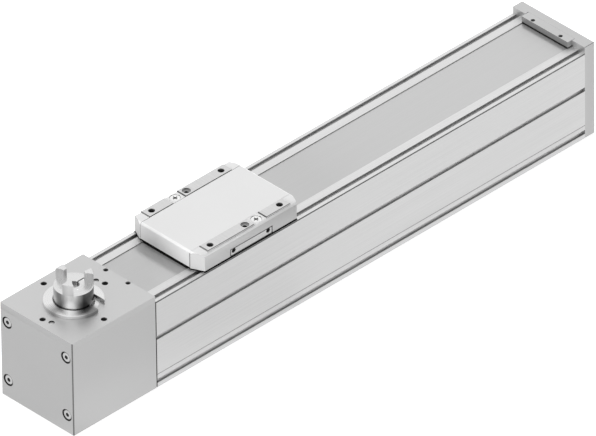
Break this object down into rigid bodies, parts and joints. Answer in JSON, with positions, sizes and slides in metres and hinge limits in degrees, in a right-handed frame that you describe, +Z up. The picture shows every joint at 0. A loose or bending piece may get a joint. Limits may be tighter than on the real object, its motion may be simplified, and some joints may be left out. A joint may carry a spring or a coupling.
{
  "type": "belt driven linear axis",
  "caption": "Belt driven linear axis: square extruded profile with a steel cover strip, a flat carriage, a drive block with a vertical jaw coupling, and an end cap.",
  "frame": {"origin": "middle of the underside of the whole axis", "axes": "+X along the travel from the drive block to the end cap, +Z up out of the carriage"},
  "size_m": [0.569, 0.08, 0.113],
  "materials": {
    "anodised_profile": "natural anodised, satin, drawn lines along the length",
    "anodised_parts": "natural anodised, fine blasted",
    "anodised_slide": "natural anodised, milled",
    "turned_steel": "turned, bright",
    "bearing_steel": "ground",
    "screw_steel": "zinc plated",
    "bright_screw": "bright zinc",
    "strip_steel": "rolled, satin",
    "white_plastic": "light grey, fine texture",
    "dark_rubber": "black",
    "belt_rubber": "black, toothed inside"
  },
  "bodies": {
    "axis_frame": {"profile": "anodised_profile", "magnet_strips": "dark_rubber", "block_gasket": "dark_rubber", "drive_housing": "anodised_parts", "drive_top_plate": "anodised_parts", "centring_ring": "turned_steel", "shaft_seal": "dark_rubber", "drive_bearings": "bearing_steel", "housing_screws": "screw_steel", "end_cap": "anodised_parts", "end_cap_screws": "screw_steel", "end_strip_clamp": "anodised_parts", "end_clamp_screws": "screw_steel", "drive_strip_clamp": "bearing_steel", "strip_grub_screws": "screw_steel", "cover_strip": "strip_steel", "guide_rail": "bearing_steel", "rail_screws": "screw_steel", "drive_belt": "belt_rubber", "idler_axle": "bearing_steel", "tensioner_yoke": "anodised_parts", "tension_screws": "screw_steel", "stop_buffers": "dark_rubber"},
    "carriage": {"guide_blocks": "bearing_steel", "guide_block_screws": "screw_steel", "inner_carriage": "anodised_parts", "belt_clamp": "anodised_parts", "belt_clamp_screws": "screw_steel", "slide_plate": "anodised_slide", "slide_plate_screws": "screw_steel", "left_cover": "white_plastic", "right_cover": "white_plastic", "centre_cover": "white_plastic", "cover_screws": "bright_screw", "strip_shoes": "white_plastic"},
    "drive_rotor": {"drive_shaft": "turned_steel", "drive_pulley": "anodised_parts", "coupling_hub": "turned_steel", "hub_clamp_screw": "screw_steel"},
    "idler": {"idler_pulley": "anodised_parts", "idler_bearings": "bearing_steel"}
  },
  "joints": [
    {"name": "carriage_slide", "type": "slide", "parent": "axis_frame", "child": "carriage", "axis": [1, 0, 0], "range_m": [-0.043, 0.3], "deforming": ["cover_strip", "drive_belt"]},
    {"name": "drive_spin", "type": "hinge", "parent": "axis_frame", "child": "drive_rotor", "pos_m": [-0.244, 0, 0.055], "axis": [0, 0, 1], "range_deg": [-176, 1204]},
    {"name": "idler_spin", "type": "hinge", "parent": "axis_frame", "child": "idler", "pos_m": [0.25, 0, 0.055], "axis": [0, 0, 1], "range_deg": [-176, 1204]}
  ],
  "couplings": [
    {"joint": "drive_spin", "follows": "carriage_slide", "rad_per_m": 69.813},
    {"joint": "idler_spin", "follows": "carriage_slide", "rad_per_m": 69.813}
  ]
}
